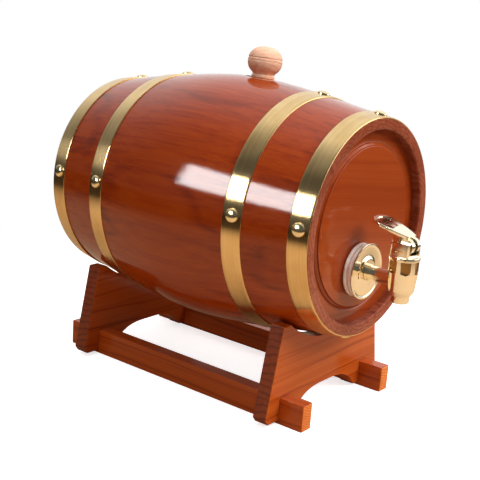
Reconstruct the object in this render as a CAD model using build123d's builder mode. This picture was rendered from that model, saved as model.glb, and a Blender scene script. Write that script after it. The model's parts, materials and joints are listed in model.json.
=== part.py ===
from build123d import *
import math
import os

os.makedirs("parts", exist_ok=True)

# ---------------------------------------------------------------- barrel shell
LENGTH = 280.0          # over the stave ends
END_R = 89.0            # outside radius at the stave ends
BILGE_R = 107.2         # outside radius at the widest point
STAVES = 16
WAIST = 0.3             # how soon the bulge straightens toward the ends
ROLL = -6.7             # turn of the barrel in its cradle, degrees
AXIS_Z = 159.5          # height of the barrel axis over the floor
CHIME_IN_R = 79.9       # inside radius at the stave ends
HEAD_Y = 131.2          # border face of a head, from mid length
CROZE_R = 84.0          # bottom radius of the groove that holds a head
CROZE_W = 6.0
PANEL_R = 68.8          # foot of the raised field on a head
PANEL_Y = 134.0         # face of the raised field, from mid length
HEAD_BACK_Y = 122.0

# ---------------------------------------------------------------- hoops, nails
HOOP_T = 1.0
OUTER_HOOP = (122.8, 139.7)
INNER_HOOP = (66.6, 83.4)
NAIL_HEAD_R = 5.4
NAIL_HEAD_H = 2.6
NAIL_SHANK_R = 1.0
NAIL_SHANK_L = 6.5

# ---------------------------------------------------------------- bung
BUNG_Y = -10.4          # along the barrel, from mid length
BUNG_HOLE_R = 9.6
BUNG_PLUG_R = 9.55
BUNG_SEAT_R = 14.6
BUNG_SEAT_R_POS = 105.8  # distance of the flat seat from the barrel axis
BUNG_NECK_R = 10.3
BUNG_BALL_R = 15.0      # knob, half across
BUNG_BALL_H = 12.6      # knob, half high
BALL_C = 15.0           # knob centre over the flat seat
BUNG_LINE_H = 2.2       # scribed line over the knob centre
NECK_TURN = -48         # where the knob meets its neck, degrees from its equator

# ---------------------------------------------------------------- tap
TAP_X = -7.1
TAP_DZ = -33.8          # shank axis below the barrel axis
TAP_BODY_Y = -176.4     # upright axis of the tap, from mid length
TAP_BODY_R = 11.7
TAP_TOP_DZ = -16.2      # joint between body and bonnet, from the barrel axis
TAP_FOOT_DZ = -51.3
NOZZLE_R = 7.1
CHAMBER_R = 7.6
SPIGOT_R = 7.6
SPIGOT_L = 12.5
STEM_BORE_R = 5.0
OUTLET_R = 4.6
INLET_R = 3.6
SHANK_R = 5.9
THREAD_R = 7.0
FLANGE_R = 23.2
FLANGE_Y = -143.0
GASKET_R = 22.3
TAP_FRONT = 12.3        # collar radius, the tap's reach in front of its upright axis
FLAT_HALF = 9.6         # flats on the bonnet, from its middle
CROWN_HALF = 8.2
PIN_Y = -179.4
PIN_DZ = -4.6
PIN_R = 1.1
KNUCKLE_R = 6.3
KNUCKLE_HALF = 6.3
STEM_SLOT_HALF = 2.2    # gap between the knuckle's cheeks, where the stem rises
LEVER_TILT = 17.0
LEVER_UNDER = 6.0       # underside of the paddle over the pin
LEVER_T = 2.4
STEM_R = 1.6
FIT = 0.05              # radial running fit
GAP = 0.3               # working clearance

# ---------------------------------------------------------------- stand
RAIL_X = (53.9, 66.7)
RAIL_H = 22.7
RAIL_HALF_L = 134.7
PANEL_IN_Y = 98.0
PANEL_OUT_Y = 111.3
STAND_TOP_Z = 83.5
STAND_TOP_X = 69.6
FOOT_X = 85.3
FOOT_Z = 3.0
SADDLE_R = 96.7

# Mid length of the barrel, placed so that the whole length is centred on zero.
FRONT_REACH = TAP_FRONT - TAP_BODY_Y
YC = (FRONT_REACH - LENGTH / 2) / 2
TAP_Z = AXIS_Z + TAP_DZ
BARREL_AXIS = Axis((0, 0, AXIS_Z), (0, 1, 0))


def radius_at(y):
    """Outside radius of the shell at a distance from mid length."""
    swell = (math.hypot(2 * y / LENGTH, WAIST) - WAIST) / (math.hypot(1, WAIST) - WAIST)
    return BILGE_R - (BILGE_R - END_R) * swell


def outline(extra):
    """Outside profile of the shell from end to end, moved out by extra."""
    steps = [LENGTH / 2 * k / 7 for k in range(-7, 8)]
    return [(YC + y, AXIS_Z + radius_at(y) + extra) for y in steps]


def inside():
    """Inside profile of the shell between the two head grooves."""
    end = HEAD_Y - CROZE_W
    half = [(35.0, 94.0), (70.0, 90.0), (105.0, 85.0), (end, 82.2)]
    left = [(-y, r) for y, r in reversed(half)]
    points = left + [(0.0, 96.2)] + half
    return [(YC + y, AXIS_Z + r) for y, r in points]


def side(sign, pairs):
    """Points (distance from mid length, radius) on one end of the barrel."""
    return [(YC + sign * y, AXIS_Z + r) for y, r in pairs]


def solid_of_outline(extra):
    """Solid of revolution inside the shell profile moved out by extra."""
    with BuildPart() as shape:
        with BuildSketch(Plane.YZ):
            with BuildLine():
                points = outline(extra)
                Spline(*points)
                Polyline(points[-1], (points[-1][0], AXIS_Z), (points[0][0], AXIS_Z), points[0])
            make_face()
        revolve(axis=BARREL_AXIS)
    return shape.part


def radial_plane(angle_deg, y, radius):
    """Plane facing out from the barrel axis at an angle about it."""
    a = math.radians(angle_deg)
    out = Vector(math.cos(a), 0, math.sin(a))
    origin = Vector(0, YC + y, AXIS_Z) + out * radius
    return Plane(origin=origin, x_dir=(0, 1, 0), z_dir=out)


NAIL_ANGLES = [90 + ROLL, 180 + ROLL, 270 + ROLL, 0 + ROLL]
HOOPS = {
    "front_outer": (-1, OUTER_HOOP),
    "front_inner": (-1, INNER_HOOP),
    "rear_inner": (1, INNER_HOOP),
    "rear_outer": (1, OUTER_HOOP),
}
NAIL_Y = [sign * (span[0] + span[1]) / 2 for sign, span in HOOPS.values()]
BUNG_ANGLE = 90 + ROLL

# ---------------------------------------------------------------- staves
for number in range(STAVES):
    centre = BUNG_ANGLE - 360.0 / STAVES * number
    with BuildPart() as stave:
        with BuildSketch(Plane.YZ):
            with BuildLine():
                top = outline(0)
                bottom = inside()
                Spline(*top)
                Polyline(
                    top[-1],
                    *side(1, [(LENGTH / 2, CHIME_IN_R + 1), (LENGTH / 2 - 1, CHIME_IN_R + 0.1)]),
                    *side(1, [(HEAD_Y, 81.2), (HEAD_Y, CROZE_R), (HEAD_Y - CROZE_W, CROZE_R)]),
                    bottom[-1],
                )
                Spline(*bottom)
                Polyline(
                    bottom[0],
                    *side(-1, [(HEAD_Y - CROZE_W, CROZE_R), (HEAD_Y, CROZE_R), (HEAD_Y, 81.2)]),
                    *side(-1, [(LENGTH / 2 - 1, CHIME_IN_R + 0.1), (LENGTH / 2, CHIME_IN_R + 1)]),
                    top[0],
                )
            make_face()
        # The sketch stands at 90 degrees; half of the stave goes each way.
        revolve(axis=BARREL_AXIS, revolution_arc=360.0 / STAVES)
    turn = (90 - centre) - 180.0 / STAVES
    shape = stave.part.rotate(BARREL_AXIS, turn)
    with BuildPart() as cut_stave:
        add(shape)
        if number == 0:
            with BuildSketch(radial_plane(BUNG_ANGLE, BUNG_Y, BUNG_SEAT_R_POS)):
                Circle(BUNG_SEAT_R)
            extrude(amount=6, mode=Mode.SUBTRACT)
            with BuildSketch(radial_plane(BUNG_ANGLE, BUNG_Y, BUNG_SEAT_R_POS)):
                Circle(BUNG_HOLE_R)
            extrude(amount=-30, mode=Mode.SUBTRACT)
        if number % (STAVES // 4) == 0:
            for y in NAIL_Y:
                with BuildSketch(radial_plane(centre, y, radius_at(y) + 3)):
                    Circle(NAIL_SHANK_R)
                extrude(amount=-(3 + NAIL_SHANK_L), mode=Mode.SUBTRACT)
    name = f"stave_{number + 1:02d}"
    cut_stave.part.label = name
    export_step(cut_stave.part, f"parts/{name}.step")

# ---------------------------------------------------------------- heads
for name, sign in (("front_head", -1), ("rear_head", 1)):
    with BuildPart() as head:
        with BuildSketch(Plane.YZ):
            with BuildLine():
                face = side(sign, [
                    (PANEL_Y, 0), (PANEL_Y, PANEL_R - 3.4), (PANEL_Y - 0.5, PANEL_R - 2.6),
                    (PANEL_Y - 0.9, PANEL_R - 2.4), (HEAD_Y + 0.7, PANEL_R - 0.8), (HEAD_Y, PANEL_R),
                    (HEAD_Y, CROZE_R), (HEAD_Y - CROZE_W, CROZE_R), (HEAD_Y - CROZE_W, 81.4),
                    (HEAD_BACK_Y, 77.5), (HEAD_BACK_Y, 0), (PANEL_Y, 0),
                ])
                Polyline(*face)
            make_face()
        revolve(axis=BARREL_AXIS)
        if sign < 0:
            with BuildSketch(Plane.XZ.offset(-YC + LENGTH / 2)):
                with Locations((TAP_X, TAP_Z)):
                    Circle(THREAD_R + GAP)
            extrude(amount=-30, mode=Mode.SUBTRACT)
    head.part.label = name
    export_step(head.part, f"parts/{name}.step")

# ---------------------------------------------------------------- hoops
shell_outside = solid_of_outline(0)
under_nails = solid_of_outline(HOOP_T)
for key, (sign, span) in HOOPS.items():
    y = sign * (span[0] + span[1]) / 2
    with BuildPart() as hoop:
        add(under_nails)
        add(shell_outside, mode=Mode.SUBTRACT)
        with BuildSketch(Plane.XZ.offset(-(YC + y - (span[1] - span[0]) / 2))):
            with Locations((0, AXIS_Z)):
                Circle(BILGE_R + 10)
        extrude(amount=-(span[1] - span[0]), mode=Mode.INTERSECT)
        for angle in NAIL_ANGLES:
            with BuildSketch(radial_plane(angle, y, radius_at(y) + 4)):
                Circle(NAIL_SHANK_R)
            extrude(amount=-8, mode=Mode.SUBTRACT)
    hoop.part.label = f"hoop_{key}"
    export_step(hoop.part, f"parts/hoop_{key}.step")

# ---------------------------------------------------------------- hoop nails
for key, (sign, span) in HOOPS.items():
    y = sign * (span[0] + span[1]) / 2
    with BuildPart() as nails:
        for angle in NAIL_ANGLES:
            with BuildSketch(radial_plane(angle, y, radius_at(y) + HOOP_T - 1)):
                Circle(NAIL_HEAD_R)
            extrude(amount=1.5)
            with BuildSketch(radial_plane(angle, y, radius_at(y) + HOOP_T + 0.5)):
                Circle(NAIL_HEAD_R)
            extrude(amount=NAIL_HEAD_H - 0.5, taper=40)
        add(under_nails, mode=Mode.SUBTRACT)
        for angle in NAIL_ANGLES:
            with BuildSketch(radial_plane(angle, y, radius_at(y) + HOOP_T + 0.6)):
                Circle(NAIL_SHANK_R)
            extrude(amount=-(NAIL_SHANK_L + HOOP_T + 0.6 - 0.5))
    nails.part.label = f"nails_{key}"
    export_step(nails.part, f"parts/nails_{key}.step")

# ---------------------------------------------------------------- bung
seat = radial_plane(BUNG_ANGLE, BUNG_Y, BUNG_SEAT_R_POS)
across = Plane(origin=seat.origin, x_dir=(0, 1, 0), z_dir=seat.x_dir.cross(seat.z_dir))
with BuildPart() as bung:
    with BuildSketch(across):
        with BuildLine():
            s = -1 if across.y_dir.dot(seat.z_dir) < 0 else 1
            turned = []
            for k in range(9):
                a = math.radians(NECK_TURN + (90 - NECK_TURN) * k / 8)
                r = BUNG_BALL_R * math.cos(a) ** 0.9
                h = math.copysign(BUNG_BALL_H * abs(math.sin(a)) ** 0.9, a)
                turned.append((r if k < 8 else 0, s * (BALL_C + h)))
            Polyline(
                turned[-1], (0, -s * 17.0), (BUNG_PLUG_R - 2.2, -s * 17.0),
                (BUNG_PLUG_R - 1.4, -s * 16.2), (BUNG_PLUG_R, -s * 3.0), (BUNG_PLUG_R, s * GAP),
                (BUNG_NECK_R, s * GAP), (BUNG_NECK_R, s * 2.6), turned[0],
            )
            Spline(*turned)
        make_face()
        with Locations((BUNG_BALL_R - 0.2, s * (BALL_C + BUNG_LINE_H))):
            Circle(0.5, mode=Mode.SUBTRACT)
    revolve(axis=Axis(seat.origin, seat.z_dir))
bung.part.label = "bung"
export_step(bung.part, "parts/bung.step")

# ---------------------------------------------------------------- tap body
TAP_WAIST_R = 10.3
FLUTES = 6
FLUTE_START = 38
FLUTE_HALF = 3.8
FLUTE_DEPTH = 1.4
TY = YC + TAP_BODY_Y
TOP = AXIS_Z + TAP_TOP_DZ
FOOT = AXIS_Z + TAP_FOOT_DZ
SEAT_Z = FOOT + 11.0
SHANK_END_Y = YC - 108.0
FLUTE_Z = TOP - 10.1     # foot of the flutes
UPRIGHT = Axis((TAP_X, TY, 0), (0, 0, 1))
with BuildPart() as tap_body:
    with BuildSketch(Plane(origin=(TAP_X, TY, 0), x_dir=(1, 0, 0), z_dir=(0, -1, 0))):
        with BuildLine():
            Polyline(
                (0, TOP), (TAP_BODY_R, TOP), (TAP_BODY_R, FLUTE_Z), (TAP_WAIST_R, FOOT + 10.2),
                (TAP_WAIST_R - 0.5, FOOT + 9.0),
                (NOZZLE_R + 0.6, FOOT + 6.0), (NOZZLE_R + 0.1, FOOT + 5.2), (NOZZLE_R + 0.1, FOOT + 0.8),
                (NOZZLE_R - 0.6, FOOT), (0, FOOT), (0, TOP),
            )
        make_face()
    revolve(axis=UPRIGHT)
    # Shank, stepped up to the threaded length that goes through the head.
    with BuildSketch(Plane.XZ.offset(-(TY + 4))):
        with Locations((TAP_X, TAP_Z)):
            Circle(SHANK_R)
    extrude(amount=-(YC - 149.4 - TY - 4))
    with BuildSketch(Plane.XZ.offset(-(YC - 149.4))):
        with Locations((TAP_X, TAP_Z)):
            Circle(THREAD_R)
    extrude(amount=-(SHANK_END_Y - (YC - 149.4)))
    # Thread grooves in front of the flange.
    for k in range(3):
        with BuildSketch(Plane.XZ.offset(-(YC - 148.6 + 1.5 * k))):
            with Locations((TAP_X, TAP_Z)):
                Circle(THREAD_R + 1)
                Circle(THREAD_R - 0.6, mode=Mode.SUBTRACT)
        extrude(amount=-0.7, mode=Mode.SUBTRACT)
    # Flutes round the upper half, each ending in a round foot.
    for k in range(FLUTES):
        a = math.radians(FLUTE_START + 360 / FLUTES * k)
        out = Vector(math.cos(a), math.sin(a), 0)
        origin = Vector(TAP_X, TY, 0) + out * (TAP_BODY_R - FLUTE_DEPTH)
        with BuildSketch(Plane(origin=origin, x_dir=(-out.Y, out.X, 0), z_dir=out)):
            with Locations((0, (TOP + FLUTE_Z + FLUTE_HALF) / 2)):
                Rectangle(2 * FLUTE_HALF, TOP - FLUTE_Z - FLUTE_HALF)
            with Locations((0, FLUTE_Z + FLUTE_HALF)):
                Circle(FLUTE_HALF)
        extrude(amount=3, mode=Mode.SUBTRACT)
    # Chamber, outlet and inlet bores.
    with BuildSketch(Plane.XY.offset(TOP)):
        with Locations((TAP_X, TY)):
            Circle(CHAMBER_R)
    extrude(amount=-(TOP - SEAT_Z), mode=Mode.SUBTRACT)
    with BuildSketch(Plane.XY.offset(SEAT_Z)):
        with Locations((TAP_X, TY)):
            Circle(OUTLET_R)
    extrude(amount=-(SEAT_Z - FOOT), mode=Mode.SUBTRACT)
    with BuildSketch(Plane.XZ.offset(-SHANK_END_Y)):
        with Locations((TAP_X, TAP_Z)):
            Circle(INLET_R)
    extrude(amount=SHANK_END_Y - TY, mode=Mode.SUBTRACT)
tap_body.part.label = "tap_body"
export_step(tap_body.part, "parts/tap_body.step")

# ---------------------------------------------------------------- tap bonnet
PIN_AXIS_Z = AXIS_Z + PIN_DZ
PY = YC + PIN_Y
COLLAR_H = 3.3
LEDGE_Z = AXIS_Z - 1.7
CROWN_Z = AXIS_Z + 2.4
CROWN_Y = YC - 174.3     # front face of the crown
CHANNEL_HALF = KNUCKLE_HALF + GAP
CHANNEL_R = KNUCKLE_R + GAP
CHANNEL_Z = PIN_AXIS_Z - CHANNEL_R
ROOF_Z = CHANNEL_Z - 2.0
with BuildPart() as tap_bonnet:
    with BuildSketch(Plane.XY.offset(TOP)):
        with Locations((TAP_X, TY)):
            Circle(TAP_FRONT)
    extrude(amount=COLLAR_H)
    fillet(tap_bonnet.edges().filter_by(GeomType.CIRCLE), 0.8)
    # Round block with two flats and a flat front.
    with BuildSketch(Plane.XY.offset(TOP + COLLAR_H)):
        with Locations((TAP_X, TY)):
            Circle(TAP_BODY_R)
            Rectangle(2 * FLAT_HALF, 30, mode=Mode.INTERSECT)
        with Locations((TAP_X, TY + 2)):
            Rectangle(2 * FLAT_HALF, 20, mode=Mode.INTERSECT)
    extrude(amount=LEDGE_Z - TOP - COLLAR_H)
    chamfer(tap_bonnet.faces().sort_by(Axis.Z)[-1].edges(), 0.7)
    with BuildSketch(Plane.XY.offset(LEDGE_Z)):
        with Locations((TAP_X, TY)):
            Circle(TAP_BODY_R - 1.3)
            Rectangle(2 * CROWN_HALF, 30, mode=Mode.INTERSECT)
        with Locations((TAP_X, CROWN_Y + 10)):
            Rectangle(30, 20, mode=Mode.INTERSECT)
    extrude(amount=CROWN_Z - LEDGE_Z)
    # Spigot that screws into the body.
    with BuildSketch(Plane.XY.offset(TOP)):
        with Locations((TAP_X, TY)):
            Circle(SPIGOT_R)
    extrude(amount=-SPIGOT_L)
    # Channel for the lever's knuckle, open at the front and on top.
    with BuildSketch(Plane.YZ.offset(TAP_X - CHANNEL_HALF)):
        with Locations((PY, PIN_AXIS_Z)):
            Circle(CHANNEL_R)
        with Locations((PY - 10, PIN_AXIS_Z)):
            Rectangle(20, 2 * CHANNEL_R)
        with Locations((CROWN_Y - 10, PIN_AXIS_Z + 10)):
            Rectangle(20, 20)
    extrude(amount=2 * CHANNEL_HALF, mode=Mode.SUBTRACT)
    # Pin hole, blind in the left wall.
    with BuildSketch(Plane.YZ.offset(TAP_X - FLAT_HALF + 1.4)):
        with Locations((PY, PIN_AXIS_Z)):
            Circle(PIN_R + FIT)
    extrude(amount=20, mode=Mode.SUBTRACT)
    # Slots in the two flats.
    for sign in (-1, 1):
        with BuildSketch(Plane.YZ.offset(TAP_X + sign * FLAT_HALF - 0.8)):
            with Locations((TY + 0.6, AXIS_Z - 8.4)):
                SlotOverall(7.0, 1.1)
        extrude(amount=1.6, mode=Mode.SUBTRACT)
    # Spring chamber and guide hole for the stem.
    with BuildSketch(Plane.XY.offset(TOP - SPIGOT_L)):
        with Locations((TAP_X, TY)):
            Circle(STEM_BORE_R)
    extrude(amount=ROOF_Z - TOP + SPIGOT_L, mode=Mode.SUBTRACT)
    with BuildSketch(Plane.XY.offset(TOP)):
        with Locations((TAP_X, TY)):
            Circle(STEM_R + FIT)
    extrude(amount=30, mode=Mode.SUBTRACT)
tap_bonnet.part.label = "tap_bonnet"
export_step(tap_bonnet.part, "parts/tap_bonnet.step")

# ---------------------------------------------------------------- lever
tilt = math.radians(LEVER_TILT)
along = Vector(0, math.cos(tilt), math.sin(tilt))
above = Vector(0, -math.sin(tilt), math.cos(tilt))
pivot = Vector(TAP_X, PY, PIN_AXIS_Z)
with BuildPart() as tap_lever:
    # Paddle outline lies flat on the tilted plane; local y runs toward the barrel.
    with BuildSketch(Plane(origin=pivot + above * LEVER_UNDER, x_dir=(1, 0, 0), z_dir=above)):
        with BuildLine():
            Spline((5.8, 0.6), (7.5, 4.5), (9.2, 9.5), (10.6, 15.5), (11.1, 20.5), (12.0, 25.5), (11.4, 30),
                   (8.4, 33.4), (4.4, 35.2), (0, 35.8), (-4.4, 35.2), (-8.4, 33.4), (-11.4, 30),
                   (-12.0, 25.5), (-11.1, 20.5), (-10.6, 15.5), (-9.2, 9.5), (-7.5, 4.5), (-5.8, 0.6))
            Line((-5.8, 0.6), (5.8, 0.6))
        make_face()
    extrude(amount=LEVER_T)
    fillet(tap_lever.faces().sort_by(Axis(pivot, above))[-1].edges(), 0.5)
    # Knuckle and neck: two cheeks with room for the stem between them.
    for sign in (-1, 1):
        start = STEM_SLOT_HALF if sign > 0 else -KNUCKLE_HALF
        with BuildSketch(Plane(origin=pivot + Vector(start, 0, 0), x_dir=along, z_dir=(1, 0, 0))):
            Circle(KNUCKLE_R)
            with Locations((1.9, LEVER_UNDER / 2 + 0.1)):
                Rectangle(6.8, LEVER_UNDER + 0.2)
        extrude(amount=KNUCKLE_HALF - STEM_SLOT_HALF)
    with BuildSketch(Plane.YZ.offset(TAP_X - 10)):
        with Locations((PY, PIN_AXIS_Z)):
            Circle(PIN_R)
    extrude(amount=20, mode=Mode.SUBTRACT)
    # Thumb dish in the broad end, and the notch in front of it.
    with BuildSketch(Plane(origin=pivot + above * (LEVER_UNDER + LEVER_T - 0.7),
                           x_dir=(1, 0, 0), z_dir=above)):
        with Locations((0, 26.6)):
            Ellipse(8.6, 6.4)
        with Locations((0, 19.2)):
            Rectangle(9.0, 4.6)
    extrude(amount=3, mode=Mode.SUBTRACT)
tap_lever.part.label = "tap_lever"
export_step(tap_lever.part, "parts/tap_lever.step")

PIN_L = FLAT_HALF + CROWN_HALF - 0.4
with BuildPart() as lever_pin:
    with BuildSketch(Plane.YZ.offset(TAP_X - FLAT_HALF + 1.4 + GAP)):
        with Locations((PY, PIN_AXIS_Z)):
            Circle(PIN_R)
    extrude(amount=PIN_L)
lever_pin.part.label = "lever_pin"
export_step(lever_pin.part, "parts/lever_pin.step")

# ---------------------------------------------------------------- valve
STEM_TOP = AXIS_Z + 0.6
SEAL_TOP = SEAT_Z + GAP + 2.0
COLLAR_Z = TOP - 8.5
with BuildPart() as valve_stem:
    with BuildSketch(Plane(origin=(TAP_X, TY, 0), x_dir=(1, 0, 0), z_dir=(0, -1, 0))):
        with BuildLine():
            Polyline(
                (0, STEM_TOP), (STEM_R - 0.4, STEM_TOP), (STEM_R, STEM_TOP - 0.4),
                (STEM_R, COLLAR_Z), (4.4, COLLAR_Z), (4.4, COLLAR_Z - 0.7), (3.45, COLLAR_Z - 0.7),
                (3.45, COLLAR_Z - 2.3), (4.4, COLLAR_Z - 2.3), (4.4, COLLAR_Z - 3.0),
                (STEM_R, COLLAR_Z - 3.0), (STEM_R, SEAL_TOP + 1.2), (5.2, SEAL_TOP + 1.2),
                (5.2, SEAL_TOP), (0, SEAL_TOP), (0, STEM_TOP),
            )
        make_face()
    revolve(axis=UPRIGHT)
valve_stem.part.label = "valve_stem"
export_step(valve_stem.part, "parts/valve_stem.step")

with BuildPart() as valve_seal:
    with BuildSketch(Plane.XY.offset(SEAL_TOP - 2.0)):
        with Locations((TAP_X, TY)):
            Circle(6.2)
    extrude(amount=2.0)
    fillet(valve_seal.edges().group_by(Axis.Z)[0], 0.5)
valve_seal.part.label = "valve_seal"
export_step(valve_seal.part, "parts/valve_seal.step")

with BuildPart() as stem_o_ring:
    with BuildSketch(Plane(origin=(TAP_X, TY, 0), x_dir=(1, 0, 0), z_dir=(0, -1, 0))):
        with Locations((STEM_BORE_R - FIT - 0.75, COLLAR_Z - 1.5)):
            Circle(0.75)
    revolve(axis=UPRIGHT)
stem_o_ring.part.label = "stem_o_ring"
export_step(stem_o_ring.part, "parts/stem_o_ring.step")

SPRING_R = 3.7
SPRING_WIRE = 0.45
SPRING_H = ROOF_Z - COLLAR_Z - 2 * SPRING_WIRE - 0.3
with BuildPart() as return_spring:
    with BuildLine(Plane.XY.offset(COLLAR_Z + SPRING_WIRE)):
        with Locations((TAP_X, TY)):
            coil = Helix(SPRING_H / 6, SPRING_H, SPRING_R)
    with BuildSketch(Plane(origin=coil @ 0, z_dir=coil % 0)):
        Circle(SPRING_WIRE)
    sweep()
return_spring.part.label = "return_spring"
export_step(return_spring.part, "parts/return_spring.step")

# ---------------------------------------------------------------- tap fixing
TAP_LINE = Axis((TAP_X, 0, TAP_Z), (0, 1, 0))
TAP_SIDE = Plane.YZ.offset(TAP_X)
with BuildPart() as tap_flange:
    with BuildSketch(TAP_SIDE):
        with BuildLine():
            Polyline(
                (YC + FLANGE_Y, TAP_Z + THREAD_R), (YC + FLANGE_Y, TAP_Z + FLANGE_R - 0.4),
                (YC + FLANGE_Y - 0.4, TAP_Z + FLANGE_R), (YC + FLANGE_Y - 0.9, TAP_Z + FLANGE_R),
                (YC + FLANGE_Y - 1.3, TAP_Z + FLANGE_R - 0.5), (YC + FLANGE_Y - 1.9, TAP_Z + 15.0),
                (YC + FLANGE_Y - 2.2, TAP_Z + THREAD_R), (YC + FLANGE_Y, TAP_Z + THREAD_R),
            )
        make_face()
    revolve(axis=TAP_LINE)
tap_flange.part.label = "tap_flange"
export_step(tap_flange.part, "parts/tap_flange.step")

with BuildPart() as tap_gasket_outer:
    with BuildSketch(TAP_SIDE):
        with BuildLine():
            Polyline(
                (YC - PANEL_Y, TAP_Z + THREAD_R), (YC - PANEL_Y, TAP_Z + GASKET_R - 1.6),
                (YC - PANEL_Y - 0.5, TAP_Z + GASKET_R - 0.4), (YC - PANEL_Y - 1.8, TAP_Z + GASKET_R),
                (YC - PANEL_Y - 3.4, TAP_Z + GASKET_R - 0.5), (YC - PANEL_Y - 4.4, TAP_Z + GASKET_R - 0.9),
                (YC - PANEL_Y - 5.4, TAP_Z + GASKET_R - 0.5), (YC - PANEL_Y - 7.2, TAP_Z + GASKET_R),
                (YC - PANEL_Y - 8.5, TAP_Z + GASKET_R - 0.5), (YC + FLANGE_Y, TAP_Z + GASKET_R - 1.6),
                (YC + FLANGE_Y, TAP_Z + THREAD_R), (YC - PANEL_Y, TAP_Z + THREAD_R),
            )
        make_face()
    revolve(axis=TAP_LINE)
tap_gasket_outer.part.label = "tap_gasket_outer"
export_step(tap_gasket_outer.part, "parts/tap_gasket_outer.step")

with BuildPart() as tap_gasket_inner:
    with BuildSketch(Plane.XZ.offset(-(YC - HEAD_BACK_Y))):
        with Locations((TAP_X, TAP_Z)):
            Circle(14)
            Circle(THREAD_R, mode=Mode.SUBTRACT)
    extrude(amount=-2)
tap_gasket_inner.part.label = "tap_gasket_inner"
export_step(tap_gasket_inner.part, "parts/tap_gasket_inner.step")

with BuildPart() as tap_back_nut:
    with BuildSketch(Plane.XZ.offset(-(YC - HEAD_BACK_Y + 2))):
        with Locations((TAP_X, TAP_Z)):
            RegularPolygon(13, 6)
            Circle(THREAD_R, mode=Mode.SUBTRACT)
    extrude(amount=-6)
tap_back_nut.part.label = "tap_back_nut"
export_step(tap_back_nut.part, "parts/tap_back_nut.step")

# ---------------------------------------------------------------- stand
for name, y_start in (("stand_panel_front", YC - PANEL_OUT_Y), ("stand_panel_rear", YC + PANEL_IN_Y)):
    with BuildPart() as panel:
        with BuildSketch(Plane.XZ.offset(-y_start)):
            with BuildLine():
                land_x = math.sqrt(SADDLE_R ** 2 - (AXIS_Z - STAND_TOP_Z) ** 2)
                Polyline((land_x, STAND_TOP_Z), (STAND_TOP_X, STAND_TOP_Z),
                         (FOOT_X - 0.8, FOOT_Z + 5.0), (FOOT_X - 4.5, FOOT_Z), (46.0, FOOT_Z))
                Spline((46.0, FOOT_Z), (35.0, 13.6), (22.0, 18.6), (0, 19.8), (-22.0, 18.6),
                       (-35.0, 13.6), (-46.0, FOOT_Z))
                Polyline((-46.0, FOOT_Z), (-FOOT_X + 4.5, FOOT_Z), (-FOOT_X + 0.8, FOOT_Z + 5.0),
                         (-STAND_TOP_X, STAND_TOP_Z), (-land_x, STAND_TOP_Z))
                ThreePointArc((-land_x, STAND_TOP_Z), (0, AXIS_Z - SADDLE_R), (land_x, STAND_TOP_Z))
            make_face()
        extrude(amount=-(PANEL_OUT_Y - PANEL_IN_Y))
        straight = panel.edges().filter_by(GeomType.LINE).filter_by(Axis.Y, reverse=True)
        long_ones = [e for e in straight if e.length > 8 and e.center().Z > 20]
        chamfer(long_ones, 0.7)
        for sign in (-1, 1):
            with BuildSketch(Plane.XY):
                with Locations((sign * (RAIL_X[0] + RAIL_X[1]) / 2, y_start + 5)):
                    Rectangle(RAIL_X[1] - RAIL_X[0], 60)
            extrude(amount=RAIL_H, mode=Mode.SUBTRACT)
    panel.part.label = name
    export_step(panel.part, f"parts/{name}.step")

for name, sign in (("rail_left", -1), ("rail_right", 1)):
    with BuildPart() as rail:
        with BuildSketch(Plane.XY):
            with Locations((sign * (RAIL_X[0] + RAIL_X[1]) / 2, YC)):
                Rectangle(RAIL_X[1] - RAIL_X[0], 2 * RAIL_HALF_L)
        extrude(amount=RAIL_H)
        chamfer(rail.faces().filter_by(Axis.Y).edges(), 0.8)
    rail.part.label = name
    export_step(rail.part, f"parts/{name}.step")
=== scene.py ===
import json
import math
import random

import bmesh
import bpy
import numpy as np
from mathutils import Matrix, Vector


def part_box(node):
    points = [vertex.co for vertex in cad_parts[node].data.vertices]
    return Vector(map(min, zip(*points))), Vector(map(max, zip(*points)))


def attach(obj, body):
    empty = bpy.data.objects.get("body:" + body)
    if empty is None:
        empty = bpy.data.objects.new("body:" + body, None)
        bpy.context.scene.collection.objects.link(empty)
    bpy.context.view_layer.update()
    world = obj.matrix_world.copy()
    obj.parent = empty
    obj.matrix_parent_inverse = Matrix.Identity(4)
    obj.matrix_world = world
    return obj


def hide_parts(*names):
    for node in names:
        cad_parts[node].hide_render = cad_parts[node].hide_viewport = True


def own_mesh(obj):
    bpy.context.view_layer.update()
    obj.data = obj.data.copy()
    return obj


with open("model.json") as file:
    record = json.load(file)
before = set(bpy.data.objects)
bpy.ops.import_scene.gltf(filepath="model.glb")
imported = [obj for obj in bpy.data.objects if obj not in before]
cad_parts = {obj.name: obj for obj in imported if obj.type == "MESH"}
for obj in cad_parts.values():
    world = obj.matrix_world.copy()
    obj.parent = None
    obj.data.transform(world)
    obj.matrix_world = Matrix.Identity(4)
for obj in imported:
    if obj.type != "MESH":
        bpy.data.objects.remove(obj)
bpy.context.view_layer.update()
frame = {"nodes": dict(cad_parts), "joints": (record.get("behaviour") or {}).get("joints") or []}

MM = 0.001

# ------------------------------------------------------------------ sizes read from the frame
STAVES = sorted(n for n in frame["nodes"] if n.startswith("stave_"))
HOOPS = ["front_outer", "front_inner", "rear_inner", "rear_outer"]


def low(node, axis):
    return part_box(node)[0][axis]


def high(node, axis):
    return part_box(node)[1][axis]


def middle(node, axis):
    return (low(node, axis) + high(node, axis)) / 2


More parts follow.
